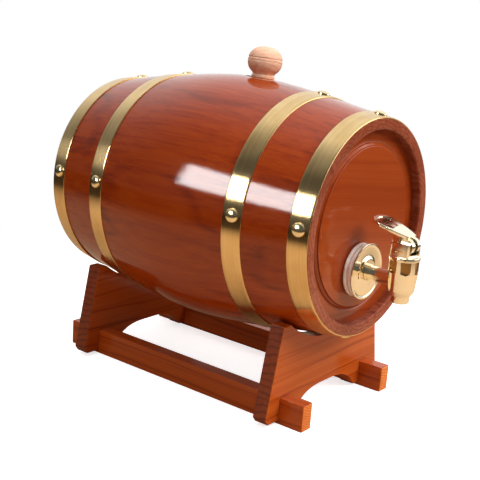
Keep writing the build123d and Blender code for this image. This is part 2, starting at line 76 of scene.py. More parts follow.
MID_Y = middle(STAVES[0], 1)
HALF_L = (high(STAVES[0], 1) - low(STAVES[0], 1)) / 2
AXIS_Z = middle("hoop_front_inner", 2)
BILGE_R = max(high(n, 0) for n in STAVES)
END_R = BILGE_R - 18.2 * MM
WAIST = 0.3             # how early the bulge runs out into straight ends
HOOP_T = 1.0 * MM
BUNG_SEAT = 105.8 * MM   # the bung's spot face, out from the barrel's axis
THREAD_R = 7.0 * MM      # outside of the tap shank
HEAD_HOLE_R = 7.3 * MM
FLUTE_L = 10.1 * MM      # flutes of the tap body, down from its crown
SLOT_DROP = 8.4 * MM     # middle of the bonnet's slot, below the barrel's axis
BUNG_AXIS = Vector(next(j for j in frame["joints"] if j["name"] == "bung_pull")["axis"])
ROLL = math.atan2(BUNG_AXIS.z, BUNG_AXIS.x)
TAP_X = middle("tap_flange", 0)
TAP_Z = middle("tap_flange", 2)


def shell_radius(y):
    """Outside radius of the shell at y in the frame."""
    t = (y - MID_Y) / HALF_L
    swell = (math.hypot(t, WAIST) - WAIST) / (math.hypot(1, WAIST) - WAIST)
    return BILGE_R - (BILGE_R - END_R) * swell


# ------------------------------------------------------------------ mesh helpers
def new_object(name, mesh):
    obj = bpy.data.objects.new(name, mesh)
    bpy.context.scene.collection.objects.link(obj)
    return obj


def mesh_from(name, verts, faces):
    mesh = bpy.data.meshes.new(name)
    mesh.from_pydata([tuple(v) for v in verts], [], faces)
    mesh.validate()
    return new_object(name, mesh)


def smooth(obj, angle=35):
    obj.data.shade_smooth()
    obj.data.set_sharp_from_angle(angle=math.radians(angle))


def outward(obj, merge=1e-6):
    bm = bmesh.new()
    bm.from_mesh(obj.data)
    bmesh.ops.remove_doubles(bm, verts=bm.verts, dist=merge)
    bmesh.ops.recalc_face_normals(bm, faces=bm.faces)
    bm.to_mesh(obj.data)
    bm.free()


def bake_modifiers(obj):
    """The object's modifiers become its plain mesh."""
    graph = bpy.context.evaluated_depsgraph_get()
    graph.update()
    mesh = bpy.data.meshes.new_from_object(obj.evaluated_get(graph))
    obj.modifiers.clear()
    obj.data = mesh


def from_cad(name, node, bevel=0.0, segments=2, angle=35, cuts=()):
    """A merged copy of a CAD node with its flat faces joined and its edges eased.

    Cuts are heights where long facets are split, so that shading stays near its edge."""
    source = frame["nodes"][node]
    obj = new_object(name, source.data.copy())
    obj.data.materials.clear()
    bm = bmesh.new()
    bm.from_mesh(obj.data)
    bmesh.ops.remove_doubles(bm, verts=bm.verts, dist=2e-6)
    bmesh.ops.dissolve_limit(bm, angle_limit=math.radians(0.6), verts=bm.verts, edges=bm.edges)
    for height in cuts:
        bmesh.ops.bisect_plane(bm, geom=bm.verts[:] + bm.edges[:] + bm.faces[:],
                               plane_co=(0, 0, height), plane_no=(0, 0, 1))
    bm.to_mesh(obj.data)
    bm.free()
    smooth(obj, angle)
    if bevel:
        mod = obj.modifiers.new("ease", "BEVEL")
        mod.width = bevel
        mod.segments = segments
        mod.limit_method = "ANGLE"
        mod.angle_limit = math.radians(angle)
        mod.harden_normals = True
        bake_modifiers(obj)
    return obj


def lathe(name, profile, origin, axis, steps=160, angle=35):
    """Closed solid of revolution. profile is (distance along axis, radius), first to last."""
    axis = Vector(axis).normalized()
    side = axis.orthogonal().normalized()
    other = axis.cross(side)
    origin = Vector(origin)
    verts = []
    faces = []
    rows = []
    for along, radius in profile:
        if radius < 1e-7:
            rows.append([len(verts)] * steps)
            verts.append(origin + axis * along)
            continue
        start = len(verts)
        for k in range(steps):
            a = 2 * math.pi * k / steps
            verts.append(origin + axis * along + (side * math.cos(a) + other * math.sin(a)) * radius)
        rows.append([start + k for k in range(steps)])
    for a_row, b_row in zip(rows, rows[1:]):
        for k in range(steps):
            n = (k + 1) % steps
            ring = [a_row[k], a_row[n], b_row[n], b_row[k]]
            face = [v for i, v in enumerate(ring) if v not in ring[:i]]
            if len(face) > 2:
                faces.append(face)
    obj = mesh_from(name, verts, faces)
    outward(obj)
    smooth(obj, angle)
    return obj


def rounded(points, radius, steps=4):
    """The polyline of (along, radius) points with its inner corners rounded."""
    out = [points[0]]
    for a, b, c in zip(points, points[1:], points[2:]):
        a, b, c = Vector(a), Vector(b), Vector(c)
        cut = min(radius, (b - a).length * 0.45, (c - b).length * 0.45)
        start = b + (a - b).normalized() * cut
        end = b + (c - b).normalized() * cut
        for k in range(steps + 1):
            t = k / steps
            p = start * (1 - t) ** 2 + b * (2 * t * (1 - t)) + end * t ** 2
            out.append((p.x, p.y))
    out.append(points[-1])
    return out


def set_grain(obj, place):
    """Stores each point's place in its board: across, through and along the grain, in metres."""
    mesh = obj.data
    layer = mesh.attributes.get("grain") or mesh.attributes.new("grain", "FLOAT_VECTOR", "POINT")
    values = np.array([place(v.co) for v in mesh.vertices], np.float32)
    layer.data.foreach_set("vector", values.ravel())


def dress(obj, body, nodes, *materials):
    """Gives a finished piece its materials, its body and the nodes it stands for."""
    obj.data.materials.clear()
    for material in materials:
        obj.data.materials.append(material)
    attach(obj, body)
    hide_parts(*nodes)
    return obj


# ------------------------------------------------------------------ material helpers
class Tree:
    """Small builder for a material's nodes."""

    def __init__(self, name):
        self.material = bpy.data.materials.new(name)
        self.material.use_nodes = True
        self.nodes = self.material.node_tree.nodes
        self.links = self.material.node_tree.links
        self.shader = self.nodes["Principled BSDF"]

    def add(self, kind, **settings):
        node = self.nodes.new(kind)
        for key, value in settings.items():
            setattr(node, key, value)
        return node

    def join(self, out, into):
        self.links.new(out, into)

    def put(self, socket, value):
        if isinstance(value, bpy.types.NodeSocket):
            self.join(value, socket)
        else:
            socket.default_value = value

    def math(self, operation, a, b=0.0, c=0.0):
        node = self.add("ShaderNodeMath", operation=operation)
        for socket, value in zip(node.inputs, (a, b, c)):
            self.put(socket, value)
        return node.outputs[0]

    def scaled(self, vector, scale, location=(0, 0, 0)):
        node = self.add("ShaderNodeMapping")
        self.join(vector, node.inputs["Vector"])
        node.inputs["Scale"].default_value = scale
        node.inputs["Location"].default_value = location
        return node.outputs[0]

    def noise(self, vector, scale, detail=3.0, rough=0.55, distortion=0.0):
        node = self.add("ShaderNodeTexNoise")
        self.join(vector, node.inputs["Vector"])
        node.inputs["Scale"].default_value = scale
        node.inputs["Detail"].default_value = detail
        node.inputs["Roughness"].default_value = rough
        node.inputs["Distortion"].default_value = distortion
        return node.outputs["Fac"]

    def ramp(self, value, *stops):
        node = self.add("ShaderNodeValToRGB")
        self.join(value, node.inputs["Fac"])
        band = node.color_ramp.elements
        while len(band) < len(stops):
            band.new(0.5)
        for element, (place, colour) in zip(band, stops):
            element.position = place
            if not isinstance(colour, tuple):
                colour = (colour, colour, colour)
            element.color = (*colour, 1)
        return node.outputs["Color"]

    def mix(self, factor, a, b, blend="MIX"):
        node = self.add("ShaderNodeMix", data_type="RGBA", blend_type=blend)
        self.put(node.inputs["Factor"], factor)
        for socket, value in ((node.inputs["A"], a), (node.inputs["B"], b)):
            if isinstance(value, tuple):
                value = (*value, 1)
            self.put(socket, value)
        return node.outputs["Result"]

    def range(self, value, low_in, high_in, low_out, high_out):
        node = self.add("ShaderNodeMapRange")
        self.join(value, node.inputs["Value"])
        for key, number in zip(("From Min", "From Max", "To Min", "To Max"),
                               (low_in, high_in, low_out, high_out)):
            node.inputs[key].default_value = number
        return node.outputs["Result"]

    def bump(self, height, strength, distance, normal=None):
        node = self.add("ShaderNodeBump")
        self.join(height, node.inputs["Height"])
        node.inputs["Strength"].default_value = strength
        node.inputs["Distance"].default_value = distance
        if normal is not None:
            self.join(normal, node.inputs["Normal"])
        return node.outputs["Normal"]

    def object_place(self):
        return self.add("ShaderNodeTexCoord").outputs["Object"]

    def attribute(self, name):
        return self.add("ShaderNodeAttribute", attribute_name=name).outputs["Vector"]


def varnished_wood(name, dark, mid, pale, ring_gap=6 * MM, ring_depth=0.6, gloss=0.05,
                   peel=0.42, coat=1.0, stripe=0.5, open_grain=0.0, ring_line=0.55):
    """Wood with growth rings round a pith, fine fibre streaks, pores and a varnish coat."""
    t = Tree(name)
    grain = t.attribute("grain")
    # Rings bend a little along the board, so they show as long tongues on a flat-sawn face.
    wander = t.noise(t.scaled(grain, (11, 11, 3.2)), 1.0, 3.0)
    shift = t.math("MULTIPLY", t.math("SUBTRACT", wander, 0.5), 0.034)
    parts = t.add("ShaderNodeSeparateXYZ")
    t.join(grain, parts.inputs[0])
    reach = t.math("SQRT", t.math("ADD",
                                  t.math("MULTIPLY", parts.outputs[0], parts.outputs[0]),
                                  t.math("MULTIPLY", parts.outputs[1], parts.outputs[1])))
    turn = t.math("FRACT", t.math("DIVIDE", t.math("ADD", reach, shift), ring_gap))
    ring = t.ramp(turn, (0.0, 0.05), (ring_line, 0.12), (0.88, 1.0), (0.95, 0.55), (1.0, 0.05))
    fibre = t.noise(t.scaled(grain, (900, 900, 7)), 1.0, 4.0, 0.62)
    streak = t.noise(t.scaled(grain, (240, 240, 1.7)), 1.0, 4.0, 0.62)
    tone = t.noise(t.scaled(grain, (15, 15, 1.1)), 1.0, 2.0)
    depth = t.math("ADD", t.math("MULTIPLY", ring, ring_depth),
                   t.range(streak, 0.44, 0.72, 0.0, stripe))
    vein = t.noise(t.scaled(grain, (95, 95, 0.5), (3, 1, 5)), 1.0, 2.0, 0.40)
    depth = t.math("ADD", depth, t.range(vein, 0.62, 0.70, 0.0, 0.7 * stripe))
    depth = t.math("ADD", depth, t.range(fibre, 0.35, 0.7, -0.06, 0.12))
    depth = t.math("ADD", depth, t.range(tone, 0.3, 0.7, 0.0, 0.30))
    colour = t.ramp(depth, (0.0, pale), (0.40, mid), (1.0, dark))
    t.join(colour, t.shader.inputs["Base Color"])
    t.join(t.range(fibre, 0.3, 0.7, 0.36, 0.52), t.shader.inputs["Roughness"])
    t.shader.inputs["Specular IOR Level"].default_value = 0.02
    t.shader.inputs["Coat Weight"].default_value = coat
    t.shader.inputs["Coat Roughness"].default_value = gloss
    t.shader.inputs["Coat IOR"].default_value = 1.43
    place = t.object_place()
    skin = t.noise(place, 620.0, 3.0, 0.6)
    wave = t.noise(place, 42.0, 1.0, 0.5)
    t.join(t.bump(fibre, 0.18 + open_grain, 0.12 * MM), t.shader.inputs["Normal"])
    film = t.bump(wave, 0.06, 1.2 * MM)
    film = t.bump(skin, peel, 0.09 * MM, film)
    if open_grain:
        film = t.bump(fibre, open_grain, 0.10 * MM, film)
    t.join(film, t.shader.inputs["Coat Normal"])
    return t.material


def brushed_brass(name):
    """Satin strip brass, brushed along its length, a little tarnished in patches."""
    t = Tree(name)
    uv = t.add("ShaderNodeUVMap", uv_map="brush").outputs[0]
    lines = t.noise(t.scaled(uv, (9, 5200, 1)), 1.0, 3.0, 0.7)
    bands = t.noise(t.scaled(uv, (14, 420, 1)), 1.0, 2.0)
    cloud = t.noise(t.object_place(), 38.0, 3.0)
    colour = t.ramp(t.math("ADD", t.math("MULTIPLY", cloud, 0.6), t.math("MULTIPLY", bands, 0.4)),
                    (0.30, (0.66, 0.43, 0.17)), (0.55, (0.80, 0.57, 0.27)), (0.75, (0.88, 0.68, 0.36)))
    t.join(colour, t.shader.inputs["Base Color"])
    t.shader.inputs["Metallic"].default_value = 1.0
    t.join(t.range(lines, 0.3, 0.7, 0.16, 0.22), t.shader.inputs["Roughness"])
    t.shader.inputs["Anisotropic"].default_value = 0.97
    t.shader.inputs["Anisotropic Rotation"].default_value = 0.25
    tangent = t.add("ShaderNodeTangent", direction_type="UV_MAP", uv_map="brush")
    t.join(tangent.outputs[0], t.shader.inputs["Tangent"])
    t.join(t.bump(lines, 0.15, 0.02 * MM), t.shader.inputs["Normal"])
    return t.material


def polished_metal(name, base, deep, rough=(0.06, 0.14)):
    """Polished metal with a faint haze and small dings in the polish."""
    t = Tree(name)
    place = t.object_place()
    haze = t.noise(place, 120.0, 4.0, 0.6)
    fine = t.noise(place, 900.0, 2.0)
    t.join(t.mix(t.range(haze, 0.35, 0.7, 0.0, 0.6), base, deep), t.shader.inputs["Base Color"])
    t.shader.inputs["Metallic"].default_value = 1.0
    t.join(t.range(haze, 0.3, 0.75, *rough), t.shader.inputs["Roughness"])
    soft = t.bump(haze, 0.05, 0.3 * MM)
    t.join(t.bump(fine, 0.04, 0.02 * MM, soft), t.shader.inputs["Normal"])
    return t.material


def clear_silicone(name):
    """Clear soft seal, milky in its thickness, with a slightly wavy skin."""
    t = Tree(name)
    place = t.object_place()
    cloud = t.noise(place, 150.0, 3.0)
    t.join(t.ramp(cloud, (0.3, (1.0, 0.80, 0.68)), (0.7, (1.0, 0.92, 0.86))),
           t.shader.inputs["Base Color"])
    t.join(t.range(cloud, 0.3, 0.7, 0.84, 0.97), t.shader.inputs["Alpha"])
    t.shader.inputs["Coat Weight"].default_value = 1.0
    t.shader.inputs["Coat Roughness"].default_value = 0.06
    t.join(t.range(cloud, 0.3, 0.7, 0.12, 0.25), t.shader.inputs["Roughness"])
    t.shader.inputs["Specular IOR Level"].default_value = 0.8
    t.join(t.bump(cloud, 0.12, 0.4 * MM), t.shader.inputs["Normal"])
    return t.material


def moulded_rubber(name):
    """Black moulded seal rubber with a fine matt skin."""
    t = Tree(name)
    place = t.object_place()
    skin = t.noise(place, 1600.0, 3.0)
    t.join(t.ramp(skin, (0.3, 0.012), (0.8, 0.035)), t.shader.inputs["Base Color"])
    t.join(t.range(skin, 0.3, 0.7, 0.55, 0.75), t.shader.inputs["Roughness"])
    t.join(t.bump(skin, 0.25, 0.03 * MM), t.shader.inputs["Normal"])
    return t.material


SHELL = varnished_wood("shell varnish over oak", (0.105, 0.009, 0.0003), (0.275, 0.030, 0.0006),
                       (0.375, 0.054, 0.0010), ring_gap=16 * MM, ring_depth=0.30, stripe=0.34,
                       ring_line=0.78)
END_GRAIN = varnished_wood("stave end grain", (0.120, 0.022, 0.009), (0.260, 0.056, 0.024),
                           (0.370, 0.110, 0.064), ring_gap=3.2 * MM, ring_depth=0.36, gloss=0.22,
                           coat=0.6, stripe=0.30, open_grain=0.10)
HEAD = varnished_wood("head varnish over oak", (0.150, 0.014, 0.003), (0.275, 0.038, 0.005),
                      (0.360, 0.060, 0.009), ring_gap=14 * MM, ring_depth=0.20, gloss=0.10,
                      stripe=0.10, ring_line=0.75)
STAND = varnished_wood("stand varnish over oak", (0.150, 0.019, 0.002), (0.430, 0.070, 0.008),
                       (0.540, 0.115, 0.017), ring_gap=15 * MM, ring_depth=0.34, gloss=0.16,
                       coat=0.8, stripe=0.26, open_grain=0.05, ring_line=0.80)
STAND_END = varnished_wood("sawn ends of the stand", (0.085, 0.012, 0.002), (0.190, 0.029, 0.004),
                           (0.270, 0.048, 0.008), ring_gap=5.2 * MM, ring_depth=0.62, gloss=0.30,
                           coat=0.6, stripe=0.20, open_grain=0.12, ring_line=0.60)
RAIL = varnished_wood("rail varnish over oak", (0.140, 0.017, 0.002), (0.400, 0.062, 0.006),
                      (0.520, 0.100, 0.013), ring_gap=13 * MM, ring_depth=0.34, gloss=0.16,
                      coat=0.8, stripe=0.26, open_grain=0.05, ring_line=0.80)
RAIL_END = varnished_wood("sawn ends of the rails", (0.380, 0.080, 0.014), (0.700, 0.180, 0.034),
                          (0.880, 0.300, 0.070), ring_gap=2.2 * MM, ring_depth=0.60, gloss=0.30,
                          coat=0.6, stripe=0.20, open_grain=0.12, ring_line=0.60)
BUNG = varnished_wood("turned bung wood", (0.500, 0.190, 0.095), (0.740, 0.390, 0.240),
                      (0.860, 0.530, 0.370), ring_gap=3.4 * MM, ring_depth=0.22, gloss=0.28,
                      coat=0.35, stripe=0.24, open_grain=0.06)
SEAT_WOOD = varnished_wood("bare ring round the bung", (0.300, 0.060, 0.010), (0.560, 0.145, 0.030),
                           (0.680, 0.210, 0.055), ring_gap=5 * MM, ring_depth=0.3, gloss=0.25,
                           coat=0.4, stripe=0.3, open_grain=0.12)
BRASS = brushed_brass("brushed hoop brass")
NAIL = polished_metal("polished nail brass", (0.93, 0.80, 0.50), (0.78, 0.60, 0.30), (0.10, 0.20))
GOLD = polished_metal("polished pale gold tap", (1.0, 0.94, 0.76), (0.95, 0.84, 0.60), (0.09, 0.17))
# Recess shade: a much darker gold painted onto the tap's flutes and the bonnet's slot as painted shade,
# with a rougher polish.
RECESS_SHADE = polished_metal("tap gold darkened with painted shade in flutes and slot", (0.50, 0.28, 0.10), (0.34, 0.17, 0.05),
                        (0.22, 0.34))
STEEL = polished_metal("valve steel", (0.62, 0.61, 0.60), (0.42, 0.41, 0.40), (0.2, 0.35))
NUT = polished_metal("turned nut brass", (0.66, 0.49, 0.24), (0.48, 0.33, 0.14), (0.25, 0.4))
CLEAR = clear_silicone("clear silicone gasket")
RUBBER = moulded_rubber("seal rubber")


# ------------------------------------------------------------------ shell
CHIME_IN_R = 79.9 * MM
HEAD_IN = 8.8 * MM      # border face of a head, in from the stave ends
CROZE_R = 84.0 * MM
CROZE_W = 6.0 * MM
WALL = 11.0 * MM
JOINT_DIP = 0.012 * MM   # how far the arris of a stave is rubbed down


def stave_profile():
    """Closed loop of (y from mid length, radius, is this point on the outside)."""
    loop = []
    rows = 72
    for k in range(rows + 1):
        y = HALF_L * (2 * k / rows - 1)
        loop.append((y, shell_radius(MID_Y + y), True))
    end = [(HALF_L, CHIME_IN_R + 1.4 * MM), (HALF_L - 0.4 * MM, CHIME_IN_R + 0.5 * MM),
           (HALF_L - 1.4 * MM, CHIME_IN_R + 0.1 * MM), (HALF_L - HEAD_IN, 81.2 * MM),
           (HALF_L - HEAD_IN, CROZE_R), (HALF_L - HEAD_IN - CROZE_W, CROZE_R)]
    loop += [(y, r, False) for y, r in end]
    inner = HALF_L - HEAD_IN - CROZE_W
    for k in range(25):
        y = inner * (1 - 2 * k / 24)
        thick = WALL - 1.4 * MM * abs(y / inner)
        loop.append((y, shell_radius(MID_Y + y) - thick, False))
    loop += [(-y, r, False) for y, r in reversed(end)]
    return loop


def make_stave(number, node, rng):
    """One stave: its profile turned through its share of the circle."""
    turns = 12
    share = 2 * math.pi / len(STAVES)
    centre = ROLL - share * number
    profile = stave_profile()
    verts = []
    for k in range(turns + 1):
        step = (k / turns - 0.5)
        # Rows bunch at the edges, where the arris is rubbed down.
        bunch = 0.5 * math.sin(math.pi * step)
        a = centre + share * bunch
        edge = abs(step) > 0.499
        for y, r, outside in profile:
            if outside and edge:
                r -= JOINT_DIP
            verts.append((r * math.cos(a), MID_Y + y, AXIS_Z + r * math.sin(a)))
    n = len(profile)
    faces = []
    for k in range(turns):
        for i in range(n):
            j = (i + 1) % n
            faces.append((k * n + i, k * n + j, (k + 1) * n + j, (k + 1) * n + i))
    faces.append(tuple(range(n)))
    faces.append(tuple(turns * n + i for i in reversed(range(n))))
    obj = mesh_from("shell_" + node, verts, faces)
    outward(obj)
    if number == 0:
        cut_bung_hole(obj)
    smooth(obj, 30)
    pith = (rng.uniform(-0.035, 0.035), rng.uniform(0.05, 0.16))
    start = rng.uniform(0, 4)

    def place(co):
        dx, dz = co.x, co.z - AXIS_Z
        a = math.atan2(dz, dx) - centre
        a = (a + math.pi) % (2 * math.pi) - math.pi
        return (a * END_R * 1.1 + pith[0], math.hypot(dx, dz) - END_R + pith[1], co.y + start)

    set_grain(obj, place)
    return obj, centre


def cut_bung_hole(obj):
    """Spot face and hole for the bung, cut square to the bung's axis."""
    foot = Vector((0, middle("bung", 1), AXIS_Z)) + BUNG_AXIS * BUNG_SEAT
    cutter = lathe("cutter", [(-30 * MM, 0), (-30 * MM, 9.6 * MM), (0, 9.6 * MM), (0, 14.6 * MM),
                              (8 * MM, 15.0 * MM), (8 * MM, 0)], foot, BUNG_AXIS, 96)
    mod = obj.modifiers.new("hole", "BOOLEAN")
    mod.operation = "DIFFERENCE"
    mod.object = cutter
    mod.solver = "EXACT"
    bake_modifiers(obj)
    bpy.data.objects.remove(cutter)


def paint_stave(obj, centre):
    """Slots: outside varnish, end grain on the chime, bare wood inside and in the spot face."""
    for face in obj.data.polygons:
        c = face.center
        n = face.normal
        radius = math.hypot(c.x, c.z - AXIS_Z)
        out = Vector((c.x, 0, c.z - AXIS_Z)).normalized()
        along = abs(c.y - MID_Y)
        turned_in = n.dot(out) < 0.4
        past_head = along > HALF_L - HEAD_IN - 1e-5
        under_skin = radius < shell_radius(c.y) - 0.3 * MM
        spot_face = n.dot(BUNG_AXIS) > 0.9999 and radius < BILGE_R - 1.0 * MM
        if past_head and turned_in and under_skin:
            face.material_index = 1
        elif turned_in or spot_face:
            face.material_index = 2 if along < HALF_L - HEAD_IN else 1
        else:
            face.material_index = 0


rng = random.Random(11)
for number, node in enumerate(STAVES):
    stave, centre = make_stave(number, node, rng)
    paint_stave(stave, centre)
    indices = [f.material_index for f in stave.data.polygons]
    dress(stave, "barrel", [node], SHELL, END_GRAIN, SEAT_WOOD)
    stave.data.polygons.foreach_set("material_index", indices)


# ------------------------------------------------------------------ heads
def make_head(name, node, sign):
    """A head with a raised field whose edge is moulded: a bead, a cove and a border."""
    face = HALF_L - HEAD_IN
    field = 2.8 * MM
    foot = 68.8 * MM
    outline = rounded([
        (face + field, foot - 20 * MM), (face + field, foot - 2.6 * MM),
        (face + field - 1.1 * MM, foot - 2.4 * MM), (face + 0.5 * MM, foot - 0.4 * MM),
        (face - 0.5 * MM, foot + 0.3 * MM), (face - 0.5 * MM, foot + 1.0 * MM),
        (face, foot + 1.6 * MM), (face, CROZE_R), (face - CROZE_W, CROZE_R),
        (face - CROZE_W, 81.4 * MM), (face - 9.2 * MM, 77.5 * MM), (face - 9.2 * MM, 0)], 0.7 * MM, 5)
    head = lathe(name, [(face + field, 0)] + outline, (0, MID_Y, AXIS_Z), (0, sign, 0), 256)
    if sign < 0:
        reach = 20 * MM
        drill = lathe("drill", [(-reach, 0), (-reach, HEAD_HOLE_R), (reach, HEAD_HOLE_R), (reach, 0)],
                      (TAP_X, MID_Y - face, TAP_Z), (0, 1, 0), 64)
        mod = head.modifiers.new("hole", "BOOLEAN")
        mod.object = drill
        mod.solver = "EXACT"
        bake_modifiers(head)
        bpy.data.objects.remove(drill)
        smooth(head, 35)
    lean = math.radians(83 if sign < 0 else 95)
    across = Vector((math.cos(lean), 0, math.sin(lean)))
    along = Vector((-math.sin(lean), 0, math.cos(lean)))

    def place(co):
        p = Vector((co.x, 0, co.z - AXIS_Z))
        return (p.dot(across) + 0.02, (co.y - MID_Y) * sign - HALF_L + 0.075, p.dot(along) + sign)

    set_grain(head, place)
    return dress(head, "barrel", [node], HEAD)


make_head("front_head_board", "front_head", -1)
make_head("rear_head_board", "rear_head", 1)


# ------------------------------------------------------------------ hoops
def make_hoop(key):
    """A brass strip on the shell with rolled edges; u runs round it and v across it."""
    node = "hoop_" + key
    start = low(node, 1)
    end = high(node, 1)
    steps = 220
    ring = []
    ease = 0.35 * MM
    for k in range(13):
        t = k / 12
        y = start + ease + (end - start - 2 * ease) * t
        ring.append((y, HOOP_T, t))
    ring = ([(start, HOOP_T * 0.35, 0.0), (start + ease * 0.3, HOOP_T * 0.82, 0.0)] + ring
            + [(end - ease * 0.3, HOOP_T * 0.82, 1.0), (end, HOOP_T * 0.35, 1.0)])
    lower = [(end, 0.02 * MM, 1.0), (start, 0.02 * MM, 0.0)]
    loop = ring + lower
    n = len(loop)
    verts = []
    for k in range(steps):
        a = 2 * math.pi * k / steps
        for y, lift, _ in loop:
            r = shell_radius(y) + lift
            verts.append((r * math.cos(a), y, AXIS_Z + r * math.sin(a)))
    faces = []
    coords = []
    width = end - start
    for k in range(steps):
        m = (k + 1) % steps
        for i in range(n):
            j = (i + 1) % n
            faces.append((k * n + i, k * n + j, m * n + j, m * n + i))
            u0 = k / steps * 2 * math.pi * END_R
            u1 = (k + 1) / steps * 2 * math.pi * END_R
            v0 = loop[i][2] * width
            v1 = loop[j][2] * width
            coords.append([(u0, v0), (u0, v1), (u1, v1), (u1, v0)])
    obj = mesh_from(node.replace("hoop_", "brass_hoop_"), verts, faces)
    layer = obj.data.uv_layers.new(name="brush")
    for polygon, quad in zip(obj.data.polygons, coords):
        for loop_index, uv in zip(polygon.loop_indices, quad):
            layer.data[loop_index].uv = uv
    bm = bmesh.new()
    bm.from_mesh(obj.data)
    bmesh.ops.recalc_face_normals(bm, faces=bm.faces)
    bm.to_mesh(obj.data)
    bm.free()
    smooth(obj, 50)
    return dress(obj, "barrel", [node], BRASS)


for key in HOOPS:
    make_hoop(key)


# ------------------------------------------------------------------ hoop nails
def dome_mesh():
    """One nail head: a low dome on a short rim, standing on z = 0."""
    radius = 5.4 * MM
    height = 2.6 * MM
    profile = [(-0.25 * MM, 0), (-0.25 * MM, radius * 0.98), (0.25 * MM, radius)]
    for k in range(1, 9):
        a = math.pi / 2 * k / 8
        profile.append((0.25 * MM + (height - 0.25 * MM) * math.sin(a), radius * math.cos(a)))
    return lathe("nail_pattern", profile, (0, 0, 0), (0, 0, 1), 36, 60)


def nail_tree(pattern):
    """Geometry nodes: nail heads set round a circle about the barrel's axis."""
    tree = bpy.data.node_groups.new("nails round a hoop", "GeometryNodeTree")
    face = tree.interface
    face.new_socket("Geometry", in_out="INPUT", socket_type="NodeSocketGeometry")
    sockets = {}
    for label, kind in (("Count", "NodeSocketInt"), ("Circle radius", "NodeSocketFloat"),
                        ("Along", "NodeSocketFloat"), ("Height", "NodeSocketFloat"),
                        ("First angle", "NodeSocketFloat"), ("Lean", "NodeSocketFloat")):
        sockets[label] = face.new_socket(label, in_out="INPUT", socket_type=kind).identifier
    sockets["Material"] = face.new_socket("Material", in_out="INPUT",
                                          socket_type="NodeSocketMaterial").identifier
    face.new_socket("Geometry", in_out="OUTPUT", socket_type="NodeSocketGeometry")
    nodes, links = tree.nodes, tree.links
    given = nodes.new("NodeGroupInput")
    line = nodes.new("GeometryNodeMeshLine")
    line.inputs["Offset"].default_value = (0, 0, 0)
    links.new(given.outputs["Count"], line.inputs["Count"])
    index = nodes.new("GeometryNodeInputIndex")
    step = nodes.new("ShaderNodeMath")
    step.operation = "DIVIDE"
    step.inputs[0].default_value = 2 * math.pi
    links.new(given.outputs["Count"], step.inputs[1])
    angle = nodes.new("ShaderNodeMath")
    angle.operation = "MULTIPLY_ADD"
    links.new(index.outputs[0], angle.inputs[0])
    links.new(step.outputs[0], angle.inputs[1])
    links.new(given.outputs["First angle"], angle.inputs[2])
    xyz = nodes.new("ShaderNodeCombineXYZ")
    for operation, slot_index in (("COSINE", 0), ("SINE", 2)):
        trig = nodes.new("ShaderNodeMath")
        trig.operation = operation
        links.new(angle.outputs[0], trig.inputs[0])
        times = nodes.new("ShaderNodeMath")
        times.operation = "MULTIPLY"
        links.new(trig.outputs[0], times.inputs[0])
        links.new(given.outputs["Circle radius"], times.inputs[1])
        if slot_index == 2:
            lift = nodes.new("ShaderNodeMath")
            lift.operation = "ADD"
            links.new(times.outputs[0], lift.inputs[0])
            links.new(given.outputs["Height"], lift.inputs[1])
            times = lift
        links.new(times.outputs[0], xyz.inputs[slot_index])
    links.new(given.outputs["Along"], xyz.inputs[1])
    move = nodes.new("GeometryNodeSetPosition")
    links.new(line.outputs[0], move.inputs["Geometry"])
    links.new(xyz.outputs[0], move.inputs["Position"])
    info = nodes.new("GeometryNodeObjectInfo")
    info.inputs["Object"].default_value = pattern
    # The dome's axis turns out of the barrel, then leans with the shell's taper.
    turned = nodes.new("ShaderNodeMath")
    turned.operation = "SUBTRACT"
    turned.inputs[0].default_value = math.pi / 2
    links.new(angle.outputs[0], turned.inputs[1])
    euler = nodes.new("ShaderNodeCombineXYZ")
    links.new(given.outputs["Lean"], euler.inputs[0])
    links.new(turned.outputs[0], euler.inputs[1])
    place = nodes.new("GeometryNodeInstanceOnPoints")
    links.new(move.outputs[0], place.inputs["Points"])
    links.new(info.outputs["Geometry"], place.inputs["Instance"])
    links.new(euler.outputs[0], place.inputs["Rotation"])
    real = nodes.new("GeometryNodeRealizeInstances")
    links.new(place.outputs[0], real.inputs[0])
    coat = nodes.new("GeometryNodeSetMaterial")
    links.new(real.outputs[0], coat.inputs["Geometry"])
    links.new(given.outputs["Material"], coat.inputs["Material"])
    out = nodes.new("NodeGroupOutput")
    links.new(coat.outputs[0], out.inputs[0])
    return tree, sockets


def make_nails():
    pattern = dome_mesh()
    tree, sockets = nail_tree(pattern)
    for key in HOOPS:
        node = "nails_" + key
        y = middle("hoop_" + key, 1)
        lean = math.atan2(shell_radius(y - 5 * MM) - shell_radius(y + 5 * MM), 10 * MM)
        nails = mesh_from("dome_" + node, [], [])
        mod = nails.modifiers.new("nails", "NODES")
        mod.node_group = tree
        values = {"Count": 4, "Circle radius": shell_radius(y) + HOOP_T, "Along": y,
                  "Height": AXIS_Z, "First angle": ROLL, "Lean": -lean, "Material": NAIL}
        for label, value in values.items():
            mod[sockets[label]] = value
        bake_modifiers(nails)
        smooth(nails, 60)
        dress(nails, "barrel", [node], NAIL)
    bpy.data.objects.remove(pattern)


make_nails()


